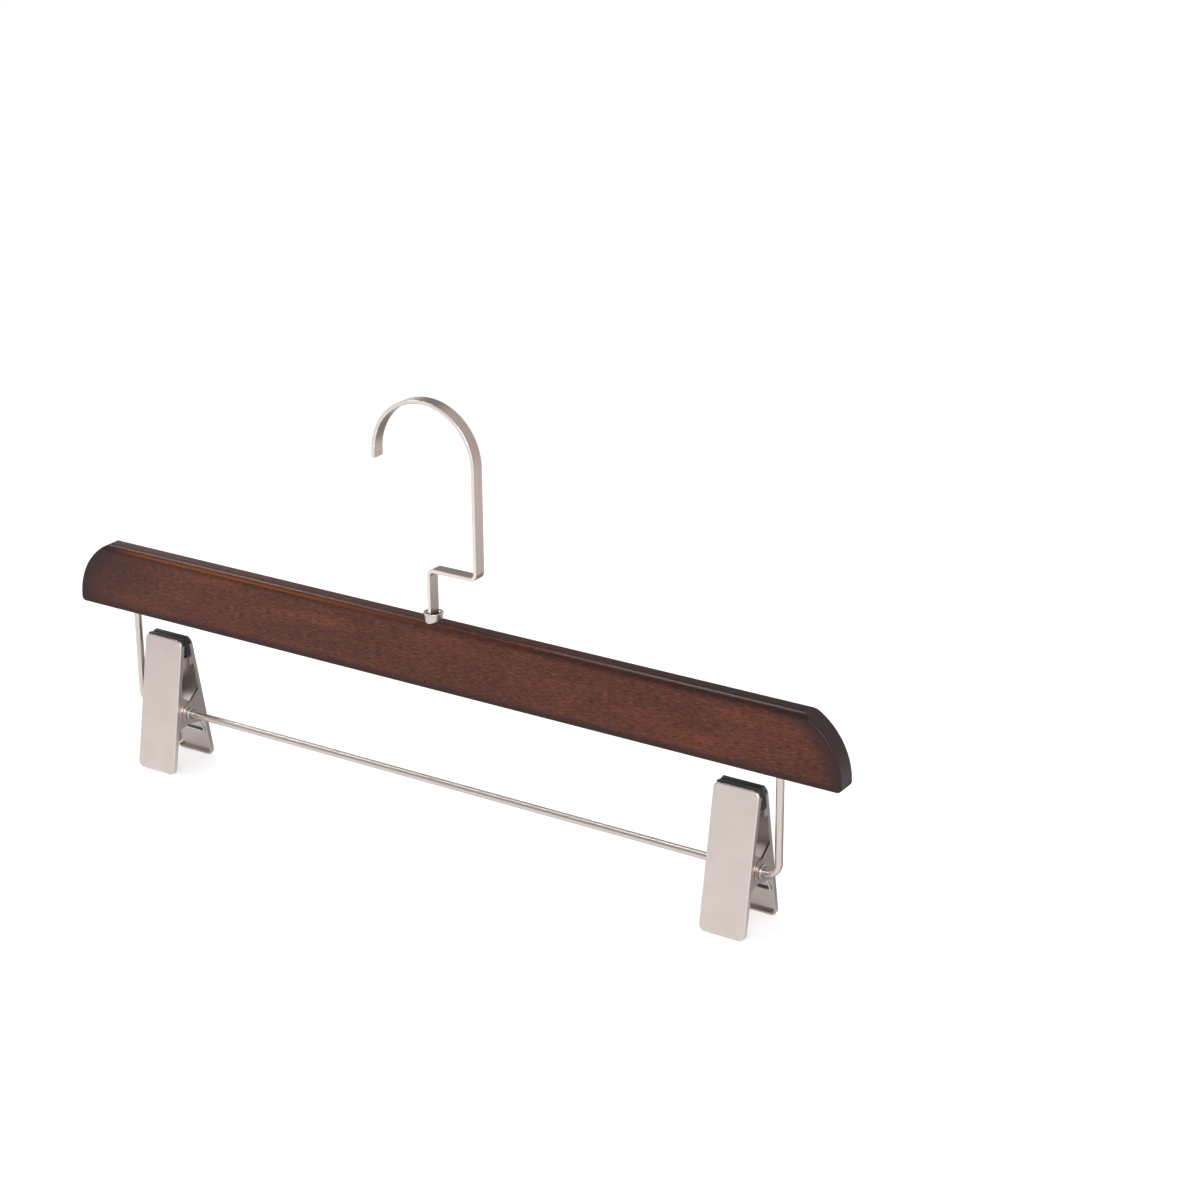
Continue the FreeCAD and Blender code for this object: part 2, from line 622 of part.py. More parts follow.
def least_gap(edges, wire):
    """Smallest distance between stretches of the tube that don't follow each other."""
    points, runs, travelled = [], [], 0.0
    for edge in edges:
        for place in edge.discretize(Distance=wire / 2)[:-1]:
            if points:
                travelled += (place - points[-1]).Length
            points.append(place)
            runs.append(travelled)
    gaps = [(points[a] - points[b]).Length - wire
            for a in range(len(points)) for b in range(a) if runs[a] - runs[b] > 4 * wire]
    return min(gaps)


def make_spring(label, side):
    """Double torsion spring: two coils on the rivet, cross bar on the back handle, free legs on the front."""
    size = {name: sizes.get(name) for name in SIZES}
    right = spring_half(size)
    mirror = FreeCAD.Matrix()
    mirror.A11 = -1.0
    left = [edge.transformGeometry(mirror) for edge in right]
    ordered = Part.sortEdges(left + right)[0]
    path = Part.Wire(ordered)
    start = path.OrderedEdges[0].valueAt(path.OrderedEdges[0].FirstParameter)
    way = path.OrderedEdges[0].tangentAt(path.OrderedEdges[0].FirstParameter)
    ring = Part.Wire(Part.Circle(start, way, size["spring_wire"] / 2).toShape())
    shell = Part.BRepOffsetAPI.MakePipeShell(path)
    shell.add(ring)
    shell.build()
    shell.makeSolid()
    feature = doc.addObject("Part::Feature", label)
    feature.Label = label
    feature.Shape = shell.shape()
    feature.Placement.Base = Vector(side * value("Places.clip_place"), 0, value("Places.pivot_height"))
    expected = math.pi * (size["spring_wire"] / 2) ** 2 * path.Length
    gap = least_gap(right, size["spring_wire"])
    volume = feature.Shape.Volume
    print(f"{label}: volume {volume:.2f}, section times length {expected:.2f}, least gap {gap:.2f}")
    return feature


def make_clip(name, sign):
    """The six pieces of one clip."""
    side = "-" if sign < 0 else ""
    pieces = [make_tube(f"{name}_pivot_tube", side)]
    for place, front in (("back", False), ("front", True)):
        pieces.append(make_jaw(f"{name}_{place}_jaw", side, front))
        pieces.append(make_pad(f"{name}_{place}_pad", side, front))
    pieces.append(make_spring(f"{name}_spring", sign))
    return pieces


def write(pieces):
    """Check the whole document, then write each piece to its own file."""
    doc.recompute()
    for item in doc.Objects:
        if "Invalid" in item.State or "Error" in item.State:
            raise RuntimeError(f"{item.Label} failed: {item.State}")
    for piece in pieces:
        if piece.Shape.isNull() or not piece.Shape.isValid() or len(piece.Shape.Solids) != 1:
            raise RuntimeError(f"{piece.Label} isn't one valid solid")
    os.makedirs("parts", exist_ok=True)
    for piece in pieces:
        piece.Shape.exportStep(f"parts/{piece.Label}.step")
        print(f"{piece.Label}: {piece.Shape.Volume:.1f} mm3")


everything = [make_bar(), make_ferrule(), make_hook(), make_wire()]
everything += make_clip("left", -1) + make_clip("right", 1)
write(everything)
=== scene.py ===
"""A wooden skirt hanger in a white studio: finishes for its solids, rubber grips and wound springs."""
import json
import math

import bmesh
import bpy
from mathutils import Matrix, Vector


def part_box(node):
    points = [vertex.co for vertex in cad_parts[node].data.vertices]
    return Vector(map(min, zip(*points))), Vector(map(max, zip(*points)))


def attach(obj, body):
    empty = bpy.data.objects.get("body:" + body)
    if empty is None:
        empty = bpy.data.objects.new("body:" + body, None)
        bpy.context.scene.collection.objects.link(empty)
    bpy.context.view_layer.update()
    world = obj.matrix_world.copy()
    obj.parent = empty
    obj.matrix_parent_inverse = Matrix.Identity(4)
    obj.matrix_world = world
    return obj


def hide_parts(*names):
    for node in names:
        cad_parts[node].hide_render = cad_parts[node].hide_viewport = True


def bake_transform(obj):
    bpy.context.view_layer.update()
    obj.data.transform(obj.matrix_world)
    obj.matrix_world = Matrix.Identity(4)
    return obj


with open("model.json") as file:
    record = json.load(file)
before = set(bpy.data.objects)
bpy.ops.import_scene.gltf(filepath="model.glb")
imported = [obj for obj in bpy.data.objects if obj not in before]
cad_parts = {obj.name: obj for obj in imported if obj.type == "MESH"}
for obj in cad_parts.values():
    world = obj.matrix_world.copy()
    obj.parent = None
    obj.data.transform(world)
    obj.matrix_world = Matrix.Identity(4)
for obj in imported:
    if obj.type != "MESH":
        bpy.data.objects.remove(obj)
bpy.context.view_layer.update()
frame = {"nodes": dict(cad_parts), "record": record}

MM = 0.001
SIDES = ("left", "right")

# Places read from the frame, in metres
BAR_LOW, BAR_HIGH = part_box("wooden_bar")
PIVOTS = {side: sum(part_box(f"{side}_pivot_tube"), Vector()) / 2 for side in SIDES}
PAD_WIDTH = (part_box("right_back_pad")[1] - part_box("right_back_pad")[0]).x

# Clip, measured from its pivot across the plate and up along it
JAW_TILT = math.radians(10.25)
PLATE_DEPTH = 9.1 * MM
SHEET = 0.8 * MM
JAW_LENGTH = 32 * MM
EAR_INSIDE = 8.7 * MM

# Rubber grips: corners closer than the weld are joined after the edges are rounded
GRIP_HEIGHT = 8 * MM
GRIP_RISE = 0.4 * MM
GRIP_GAP = 0.2 * MM
GRIP_EDGE_ANGLE = math.radians(60)
GRIP_EDGE_ROUND = 0.22 * MM
GRIP_EDGE_STEPS = 3
GRIP_WELD = 0.004 * MM

# Ribs of a grip: a power below 1 makes the crests fuller and the grooves narrower
RIB_COUNT = 5
RIB_DEPTH = 0.5 * MM
RIB_POWER = 0.8
RIB_STEPS = 12

# Double torsion springs
SPRING_WIRE = 1.0 * MM
SPRING_WIRE_STEPS = 5
SPRING_COIL_RADIUS = 2.95 * MM
SPRING_COIL_STEP = math.radians(10)
SPRING_PITCH = 1.5 * MM
SPRING_TURNS = 2
SPRING_LEG_DROP = 14 * MM
SPRING_BEND_RADIUS = 1.3 * MM
SPRING_BEND_STEPS = 12
SPRING_SEAT_GAP = 0.1 * MM
SPRING_EAR_GAP = 0.35 * MM

# Angles between faces above which a piece's edge stays sharp
SHARP_ANGLE = math.radians(40)
SPRING_SHARP_ANGLE = math.radians(60)

# Bar outline that the stain follows, in millimetres
BAR_TOP = BAR_HIGH.z / MM
BAR_BOTTOM = BAR_LOW.z / MM
BAR_END_RADIUS = 28.1
BAR_CORNER = 2.0
BAR_END_CENTRE = (BAR_HIGH.x / MM - BAR_END_RADIUS, 0.0, BAR_BOTTOM + BAR_CORNER)

# Where a tone begins and is full, in millimetres from the bar's middle or an end's centre: a line of
# painted light, a band of painted dark reflection and the darker stain at the ends
PAINTED_LIGHT_LINE_ALONG = (50.0, -110.0)
PAINTED_DARK_REFLECTION_ALONG = (20.0, 140.0)
LEFT_SHADE_ALONG = (-130.0, -172.0)
END_SHADE_ALONG = (BAR_END_CENTRE[0] - 4, BAR_END_CENTRE[0] + 12)
END_SHADE_RADII = (BAR_END_RADIUS - 10, BAR_END_RADIUS + 1.5)
END_SHADE_WOBBLE = 1.5

# The painted light line's depth under the top edge, in millimetres, and the strengths of it and of the
# painted dark reflection
PAINTED_LIGHT_LINE_DEPTH = 1.5
PAINTED_LIGHT_LINE_STRENGTH = 0.75
PAINTED_DARK_REFLECTION_STRENGTH = 0.6

# Length and width of each mark in the wood, in millimetres, and its detail
WOOD_GRAIN = {
    "figure": (36, 7, 3.0),
    "streaks": (9, 0.5, 3.0),
    "flecks": (2.8, 0.5, 2.0),
    "pores": (3.6, 0.45, 1.0),
}

# Sizes of marks in metal and rubber: lines and pits are coarser than real ones, so that they show
DULL_PATCH = 9 * MM
ROLLING_LINE = 0.6 * MM
RUBBER_BLOOM = 2.5 * MM
RUBBER_PIT = 0.3 * MM

# The photograph's camera
CAMERA_AIM = Vector((75.14, 0, 114.94)) * MM
CAMERA_DISTANCE = 988.1 * MM
CAMERA_AZIMUTH = math.radians(32.68)
CAMERA_ELEVATION = math.radians(21.44)
CAMERA_ROLL = math.radians(-0.363)
CAMERA_LENS = 81.67
CAMERA_SENSOR = 36
CAMERA_NEAR = 0.01

# Paper, and a grey patch on it that only reflections see, which is painted shade, in metres from the
# middle:
# where each change begins and where it is full
PAPER_HALF = 6.0
PAPER_WHITE_RADII = (0.3, 0.75)
PAPER_GLOW = 0.48
PAINTED_SHADE_BACK = (-0.01, 0.03)
PAINTED_SHADE_RADII = (0.3, 0.24)
PAINTED_SHADE_LEVEL = 0.4

# Backdrop, where a level of 1 is white
WHITE = (1, 1, 1, 1)
FILL_LEVEL = 0.5

# Place, width and height of each softbox, in metres, and its power in watts
SOFTBOX_AIM = (0, 0, 0.08)
SOFTBOXES = {
    "overhead_left_softbox": ((-0.88, 0.0, 1.1), 0.45, 0.2, 3),
    "overhead_right_softbox": ((-0.4, 0.0, 1.1), 0.46, 0.2, 3),
    "front_softbox": ((0.9, -1.4, 1.0), 1.0, 0.8, 15),
    "strip_softbox": ((1.0, -0.65, 0.35), 0.25, 0.9, 3.5),
}

# Sockets of a Mix node for colours, and for numbers, because it has the same socket names for both
MIX_FACTOR, MIX_FIRST, MIX_SECOND, MIX_RESULT = 0, 6, 7, 2
MIX_FIRST_NUMBER, MIX_SECOND_NUMBER = 2, 3


def linear(hex_colour):
    """An sRGB hex colour as the linear RGBA that shaders take."""
    channels = [int(hex_colour[place:place + 2], 16) / 255 for place in (1, 3, 5)]
    return [c / 12.92 if c <= 0.04045 else ((c + 0.055) / 1.055) ** 2.4 for c in channels] + [1.0]


def add_node(tree, kind, links=None, **settings):
    """A shader node with its settings, and its inputs linked to a node or socket, or set to a value."""
    made = tree.nodes.new(kind)
    for name, setting in settings.items():
        setattr(made, name, setting)
    for socket, source in (links or {}).items():
        if isinstance(source, bpy.types.Node):
            source = source.outputs[0]
        if isinstance(source, bpy.types.NodeSocket):
            tree.links.new(source, made.inputs[socket])
        else:
            made.inputs[socket].default_value = source
    return made


def new_material(name):
    """A material with an empty node tree and its output node."""
    material = bpy.data.materials.new(name)
    material.use_nodes = True
    material.node_tree.nodes.clear()
    output = add_node(material.node_tree, "ShaderNodeOutputMaterial")
    return material, material.node_tree, output


# Materials

# Planed hardwood, spray stained and lacquered: a deep red brown with fine short pores along the bar, near
# black where the end grain drank the stain, painted light as a lighter orange line along the top edge, a
# painted dark reflection over the top on the right half, all under a clear satin gloss
def stained_walnut_under_lacquer():
    """The bar's wood, with pores about twice as coarse as real ones, which the render would lose."""
    material, tree, output = new_material("stained_walnut_sprayed_with_lacquer")
    place = add_node(tree, "ShaderNodeTexCoord").outputs["Object"]
    spot = add_node(tree, "ShaderNodeVectorMath", {0: place, "Scale": 1 / MM}, operation="SCALE")
    axes = add_node(tree, "ShaderNodeSeparateXYZ", {0: spot})
    grain = {}
    for name, (length, width, detail) in WOOD_GRAIN.items():
        drawn = add_node(tree, "ShaderNodeVectorMath", {
            0: spot, 1: (length, width, width),
        }, operation="DIVIDE")
        grain[name] = add_node(tree, "ShaderNodeTexNoise", {
            "Vector": drawn, "Scale": 1.0, "Detail": detail,
        })

    # Distance from the centre of an arched end, wobbled by the streaks
    folded = add_node(tree, "ShaderNodeVectorMath", {0: spot}, operation="ABSOLUTE")
    profile = add_node(tree, "ShaderNodeVectorMath", {0: folded, 1: (1, 0, 1)}, operation="MULTIPLY")
    outward = add_node(tree, "ShaderNodeVectorMath", {
        0: profile, 1: BAR_END_CENTRE,
    }, operation="MAXIMUM")
    from_centre = add_node(tree, "ShaderNodeVectorMath", {
        0: outward, 1: BAR_END_CENTRE,
    }, operation="DISTANCE")
    end_reach = add_node(tree, "ShaderNodeMath", {
        0: grain["streaks"], 1: END_SHADE_WOBBLE, 2: from_centre.outputs["Value"],
    }, operation="MULTIPLY_ADD")

    # Distance from the long edges, and from the painted light line just under the top one
    from_top = add_node(tree, "ShaderNodeMath", {0: BAR_TOP, 1: axes.outputs["Z"]}, operation="SUBTRACT")
    from_bottom = add_node(tree, "ShaderNodeMath", {
        0: axes.outputs["Z"], 1: BAR_BOTTOM,
    }, operation="SUBTRACT")
    from_edge = add_node(tree, "ShaderNodeMath", {0: from_top, 1: from_bottom}, operation="MINIMUM")
    below_line = add_node(tree, "ShaderNodeMath", {0: from_top, 1: PAINTED_LIGHT_LINE_DEPTH}, operation="SUBTRACT")
    off_line = add_node(tree, "ShaderNodeMath", {0: below_line}, operation="ABSOLUTE")

    # Strength of a tone that comes and goes along the bar
    along = add_node(tree, "ShaderNodeSeparateXYZ", {0: folded})
    strengths = {}
    for name, source, (begin, full), strength in (
        ("end", along.outputs["X"], END_SHADE_ALONG, 1.0),
        ("painted_light_line", axes.outputs["X"], PAINTED_LIGHT_LINE_ALONG, PAINTED_LIGHT_LINE_STRENGTH),
        ("painted_dark_reflection", axes.outputs["X"], PAINTED_DARK_REFLECTION_ALONG, PAINTED_DARK_REFLECTION_STRENGTH),
    ):
        strengths[name] = add_node(tree, "ShaderNodeMapRange", {
            "Value": source, "From Min": begin, "From Max": full, "To Max": strength,
        }, interpolation_type="SMOOTHSTEP")

    # Tones laid over each other: a pattern, where the tone begins and is full, its strength and colour
    colour = linear("#4e2216")
    for pattern, (begin, full), strength, tone in (
        (grain["figure"], (0.38, 0.66), 0.7, "#612f1f"),
        (grain["figure"], (0.58, 0.74), 0.45, "#783d1e"),
        (grain["streaks"], (0.45, 0.72), 0.35, "#74422d"),
        (grain["flecks"], (0.46, 0.32), 0.45, "#824c36"),
        (grain["flecks"], (0.52, 0.66), 0.62, "#2e130d"),
        (grain["pores"], (0.56, 0.65), 0.72, "#210d08"),
        (from_edge, (4.2, 2.0), 0.55, "#2a110c"),
        # Painted dark reflection: a dark violet band over the top edge, on the right half
        (from_top, (2.6, 1.2), strengths["painted_dark_reflection"], "#21131a"),
        (from_bottom, (3.2, 0.3), 0.7, "#1c0c09"),
        # Painted light: a lighter orange line where the top round-over faces the overhead softboxes
        (off_line, (0.75, 0.15), strengths["painted_light_line"], "#84441c"),
        (axes.outputs["X"], LEFT_SHADE_ALONG, 0.65, "#32110c"),
        (end_reach, END_SHADE_RADII, strengths["end"], "#291619"),
    ):
        amount = add_node(tree, "ShaderNodeMapRange", {
            "Value": pattern, "From Min": begin, "From Max": full, "To Max": strength,
        }, interpolation_type="SMOOTHSTEP")
        layer = add_node(tree, "ShaderNodeMix", {
            MIX_FACTOR: amount, MIX_FIRST: colour, MIX_SECOND: linear(tone),
        }, data_type="RGBA")
        colour = layer.outputs[MIX_RESULT]

    relief = add_node(tree, "ShaderNodeMath", {
        0: grain["streaks"], 1: grain["pores"],
    }, operation="SUBTRACT")
    bump = add_node(tree, "ShaderNodeBump", {"Height": relief, "Strength": 0.3, "Distance": 0.03 * MM})
    roughness = add_node(tree, "ShaderNodeMapRange", {
        "Value": grain["streaks"], "To Min": 0.4, "To Max": 0.6,
    })
    lacquer = add_node(tree, "ShaderNodeBsdfPrincipled", {
        "Base Color": colour, "Roughness": roughness, "IOR": 1.5, "Specular IOR Level": 0.05,
        "Coat Weight": 0.38, "Coat Roughness": 0.24, "Coat IOR": 1.5, "Normal": bump,
    })
    tree.links.new(lacquer.outputs[0], output.inputs[0])
    return material


def metal(name, colour, dull_colour, roughness, spread, grain, depth):
    """A plated or drawn metal with faint cloudy dull patches and a satin grain, coarse enough to show."""
    material, tree, output = new_material(name)
    place = add_node(tree, "ShaderNodeTexCoord").outputs["Object"]
    clouds = add_node(tree, "ShaderNodeTexNoise", {
        "Vector": place, "Scale": 1 / DULL_PATCH, "Detail": 3.0,
    })
    satin = add_node(tree, "ShaderNodeTexNoise", {"Vector": place, "Scale": 1 / grain, "Detail": 2.0})
    tint = add_node(tree, "ShaderNodeMix", {
        MIX_FACTOR: clouds, MIX_FIRST: linear(colour), MIX_SECOND: linear(dull_colour),
    }, data_type="RGBA")
    dullness = add_node(tree, "ShaderNodeMapRange", {
        "Value": clouds, "From Min": 0.3, "From Max": 0.7,
        "To Min": roughness - spread, "To Max": roughness + spread,
    })
    bump = add_node(tree, "ShaderNodeBump", {"Height": satin, "Strength": 0.15, "Distance": depth})
    surface = add_node(tree, "ShaderNodeBsdfPrincipled", {
        "Base Color": tint.outputs[MIX_RESULT], "Metallic": 1.0, "Roughness": dullness, "Normal": bump,
    })
    tree.links.new(surface.outputs[0], output.inputs[0])
    return material


# Cold rolled strip, cut to width and nickel plated: fine lines along its faces, and a painted highlight
# that makes its narrow edges brighter
def rolled_strip():
    """The hook's strip. Its faces look along the frame's X and Z, and its narrow edges, painted brighter,
    along Y.
    """
    material, tree, output = new_material("satin_nickel_strip_rolled_and_slit")
    shape = add_node(tree, "ShaderNodeTexCoord")
    place = add_node(tree, "ShaderNodeSeparateXYZ", {0: shape.outputs["Object"]})
    across = add_node(tree, "ShaderNodeMath", {
        0: place.outputs["Y"], 1: 1 / ROLLING_LINE,
    }, operation="MULTIPLY")
    lines = add_node(tree, "ShaderNodeTexNoise", {
        "W": across, "Scale": 1.0, "Detail": 2.0,
    }, noise_dimensions="1D")
    facing = add_node(tree, "ShaderNodeSeparateXYZ", {0: shape.outputs["Normal"]})
    sideways = add_node(tree, "ShaderNodeMath", {0: facing.outputs["Y"]}, operation="ABSOLUTE")
    # Painted highlight: the narrow edges, which face along Y, get a brighter colour than the faces
    painted_edge_highlight = add_node(tree, "ShaderNodeMapRange", {"Value": sideways, "From Min": 0.4, "From Max": 0.8})
    face = add_node(tree, "ShaderNodeMix", {
        MIX_FACTOR: lines, MIX_FIRST: linear("#c2b4ad"), MIX_SECOND: linear("#a3938c"),
    }, data_type="RGBA")
    tint = add_node(tree, "ShaderNodeMix", {
        MIX_FACTOR: painted_edge_highlight, MIX_FIRST: face.outputs[MIX_RESULT], MIX_SECOND: linear("#d9d0c9"),
    }, data_type="RGBA")
    surface = add_node(tree, "ShaderNodeBsdfPrincipled", {
        "Base Color": tint.outputs[MIX_RESULT], "Metallic": 1.0, "Roughness": 0.3,
    })
    tree.links.new(surface.outputs[0], output.inputs[0])
    return material


# Moulded nitrile rubber: near black with a low sheen, a fine pitted skin and a greyish bloom
def black_moulded_rubber():
    """The grips' rubber."""
    material, tree, output = new_material("black_nitrile_rubber_moulded")
    place = add_node(tree, "ShaderNodeTexCoord").outputs["Object"]
    bloom = add_node(tree, "ShaderNodeTexNoise", {
        "Vector": place, "Scale": 1 / RUBBER_BLOOM, "Detail": 4.0,
    })
    pits = add_node(tree, "ShaderNodeTexNoise", {
        "Vector": place, "Scale": 1 / RUBBER_PIT, "Detail": 2.0,
    })
    tint = add_node(tree, "ShaderNodeMix", {
        MIX_FACTOR: bloom, MIX_FIRST: linear("#0a0a0b"), MIX_SECOND: linear("#1b1c1e"),
    }, data_type="RGBA")
    bump = add_node(tree, "ShaderNodeBump", {"Height": pits, "Strength": 0.4, "Distance": 0.04 * MM})
    skin = add_node(tree, "ShaderNodeBsdfPrincipled", {
        "Base Color": tint.outputs[MIX_RESULT], "Roughness": 0.45, "IOR": 1.52, "Normal": bump,
    })
    tree.links.new(skin.outputs[0], output.inputs[0])
    return material


WOOD = stained_walnut_under_lacquer()
STRIP = rolled_strip()
RUBBER = black_moulded_rubber()

# Nickel plate, tumbled to a satin: a warm pale grey that blurs what it mirrors
NICKEL = metal("satin_nickel_plate_tumbled", "#cabfba", "#c2b6b1",
               roughness=0.3, spread=0.02, grain=0.22 * MM, depth=0.02 * MM)

# Zinc plate on a drawn tube: a little darker and cloudier than the nickel
RIVET = metal("zinc_plated_rivet_drawn", "#b9b5b2", "#a29d9a",
              roughness=0.28, spread=0.05, grain=0.3 * MM, depth=0.02 * MM)

# Hard drawn wire: cool and bright, with the sharpest reflections of the metals
SPRING_STEEL = metal("bright_spring_wire_drawn", "#d5dade", "#b8bec4",
                     roughness=0.16, spread=0.04, grain=0.2 * MM, depth=0.01 * MM)

SLOT_FINISHES = {"stained_wood": WOOD, "satin_nickel": NICKEL, "plated_steel": RIVET}
NODE_FINISHES = {"hook": STRIP}


def finish_cad_nodes():
    """The frame's own solids get these materials in place of their plain ones."""
    for subpart in frame["record"]["subparts"]:
        finish = NODE_FINISHES.get(subpart["node"], SLOT_FINISHES.get(subpart["material_slot"]))
        if finish:
            frame["nodes"][subpart["node"]].material_slots[0].material = finish


# Pieces

def add_piece(name, mesh, material, sharp_angle=SHARP_ANGLE):
    """A mesh as an object of the scene, smooth but for its sharp edges."""
    mesh.materials.append(material)
    mesh.polygons.foreach_set("use_smooth", [True] * len(mesh.polygons))
    mesh.set_sharp_from_angle(angle=sharp_angle)
    piece = bpy.data.objects.new(name, mesh)
    bpy.context.scene.collection.objects.link(piece)
    return piece


def jaw_frame(side, front):
    """From a plate's own axes, with Y outward and Z up the plate, to the frame."""
    turn = Matrix.Rotation(math.pi, 4, "Z") if front else Matrix.Identity(4)
    return Matrix.Translation(PIVOTS[side]) @ turn @ Matrix.Rotation(JAW_TILT, 4, "X")


def add_rubber_grip(side, place):
    """Moulded grip with rounded ribs across its face, seated on the plate's inside."""
    seat = PLATE_DEPTH - SHEET
    foot, top = JAW_LENGTH - GRIP_HEIGHT, JAW_LENGTH + GRIP_RISE
    steps = RIB_COUNT * RIB_STEPS
    shape = bmesh.new()
    columns = []
    for end in (-PAD_WIDTH / 2, PAD_WIDTH / 2):
        column = []
        for step in range(steps + 1):
            share = step / steps
            height = foot + (top - foot) * share
            crest = (GRIP_GAP / 2 + height * math.sin(JAW_TILT)) / math.cos(JAW_TILT)
            face = crest + RIB_DEPTH * (1 - abs(math.cos(math.pi * RIB_COUNT * share)) ** RIB_POWER)
            column.append((shape.verts.new((end, seat, height)), shape.verts.new((end, face, height))))
        columns.append(column)

    # Skin between the two profiles: both sides, the ribbed face, the seat and the two ends
    left, right = columns
    for step in range(steps):
        (seat_a, face_a), (seat_b, face_b) = left[step], left[step + 1]
        (seat_c, face_c), (seat_d, face_d) = right[step], right[step + 1]
        shape.faces.new((seat_a, seat_b, face_b, face_a))
        shape.faces.new((seat_c, face_c, face_d, seat_d))
        shape.faces.new((face_a, face_b, face_d, face_c))
        shape.faces.new((seat_a, seat_c, seat_d, seat_b))
    for step in (0, steps):
        shape.faces.new((left[step][0], left[step][1], right[step][1], right[step][0]))
    bmesh.ops.recalc_face_normals(shape, faces=shape.faces)

    outline = [edge for edge in shape.edges if edge.calc_face_angle() > GRIP_EDGE_ANGLE]
    bmesh.ops.bevel(shape, geom=outline, offset=GRIP_EDGE_ROUND, segments=GRIP_EDGE_STEPS, profile=0.5,
                    affect="EDGES", clamp_overlap=True)
    bmesh.ops.remove_doubles(shape, verts=shape.verts, dist=GRIP_WELD)
    shape.transform(jaw_frame(side, place == "front"))
    mesh = bpy.data.meshes.new(f"{side}_{place}_rubber_grip")
    shape.to_mesh(mesh)
    shape.free()
    grip = add_piece(f"{side}_{place}_rubber_grip", mesh, RUBBER)
    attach(grip, f"{side}_{place}_plate")
    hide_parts(f"{side}_{place}_pad")


def spring_half():
    """Points along one half of the spring, from the middle of its cross bar to its free end.

    They are measured from the clip's pivot. The cross bar lies on the back handle and a leg rises from it
    to touch the coil next to the ear. The coil winds towards the middle, and the free leg goes down to the
    front handle.
    """
    out = PLATE_DEPTH - SHEET - SPRING_SEAT_GAP - SPRING_WIRE / 2
    seat = Matrix.Rotation(JAW_TILT, 3, "X") @ Vector((0, out, -SPRING_LEG_DROP))
    coil = SPRING_COIL_RADIUS
    touch = math.atan2(seat.z, seat.y) + math.acos(coil / math.hypot(seat.y, seat.z))
    sweep = math.pi - 2 * touch + 2 * math.pi * SPRING_TURNS
    climb = SPRING_PITCH / (2 * math.pi)
    leg = math.hypot(seat.y - coil * math.cos(touch), seat.z - coil * math.sin(touch))
    start_x = EAR_INSIDE - SPRING_EAR_GAP - SPRING_WIRE / 2 - leg / coil * climb

    def on_coil(angle):
        return Vector((start_x - (angle - touch) * climb, coil * math.cos(angle), coil * math.sin(angle)))

    def way(angle):
        return Vector((-climb, -coil * math.sin(angle), coil * math.cos(angle))).normalized()

    # The bend from the cross bar into its leg is a quadratic curve with its handle at their corner
    up, across = way(touch), Vector((1, 0, 0))
    run = math.hypot(leg, leg / coil * climb)
    corner = on_coil(touch) - up * run
    cut = SPRING_BEND_RADIUS * math.tan(across.angle(up) / 2)
    first, last = corner - across * cut, corner + up * cut
    points = [Vector((0, corner.y, corner.z))]
    for step in range(SPRING_BEND_STEPS + 1):
        share = step / SPRING_BEND_STEPS
        points.append(first * (1 - share) ** 2 + corner * 2 * share * (1 - share) + last * share**2)

    coil_steps = round(sweep / SPRING_COIL_STEP)
    points += [on_coil(touch + sweep * step / coil_steps) for step in range(coil_steps + 1)]
    points.append(points[-1] + way(touch + sweep) * run)
    return points


def add_spring(side):
    """Wound wire: coils on the rivet, cross bar on the back handle and free legs on the front one."""
    half = spring_half()
    mirrored = [Vector((-point.x, point.y, point.z)) for point in reversed(half[1:])]
    curve = bpy.data.curves.new(f"{side}_wound_spring_path", "CURVE")
    curve.dimensions = "3D"
    curve.bevel_depth = SPRING_WIRE / 2
    curve.bevel_resolution = SPRING_WIRE_STEPS
    curve.use_fill_caps = True
    path = curve.splines.new("POLY")
    route = [PIVOTS[side] + point for point in mirrored + half]
    path.points.add(len(route) - 1)
    for knot, point in zip(path.points, route):
        knot.co = (*point, 1.0)
    drawn = bpy.data.objects.new(curve.name, curve)
    mesh = bpy.data.meshes.new_from_object(drawn)
    bpy.data.objects.remove(drawn)
    bpy.data.curves.remove(curve)
    mesh.name = f"{side}_wound_spring"
    mesh.materials.clear()
    spring = add_piece(mesh.name, mesh, SPRING_STEEL, SPRING_SHARP_ANGLE)
    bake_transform(spring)
    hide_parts(f"{side}_spring")


# Studio

def add_camera():
    """The photograph's viewpoint: to the right of the front and above the bar."""
    back = Vector((
        math.sin(CAMERA_AZIMUTH) * math.cos(CAMERA_ELEVATION),
        -math.cos(CAMERA_AZIMUTH) * math.cos(CAMERA_ELEVATION),
        math.sin(CAMERA_ELEVATION),
    ))
    lens = bpy.data.cameras.new("studio_camera")
    lens.lens = CAMERA_LENS
    lens.sensor_width = CAMERA_SENSOR
    lens.clip_start = CAMERA_NEAR
    camera = bpy.data.objects.new("studio_camera", lens)
    bpy.context.scene.collection.objects.link(camera)
    camera.matrix_world = (
        Matrix.Translation(CAMERA_AIM + back * CAMERA_DISTANCE)
        @ (-back).to_track_quat("-Z", "Y").to_matrix().to_4x4()
        @ Matrix.Rotation(CAMERA_ROLL, 4, "Z")
    )
    bpy.context.scene.camera = camera


def ray_kinds(tree):
    """Tells a ray that comes straight from the eye, and one that comes by reflection or through glass."""
    ray = add_node(tree, "ShaderNodeLightPath")
    mirrored = add_node(tree, "ShaderNodeMath", {
        0: ray.outputs["Is Glossy Ray"], 1: ray.outputs["Is Transmission Ray"],
    }, operation="MAXIMUM")
    return ray.outputs["Is Camera Ray"], mirrored


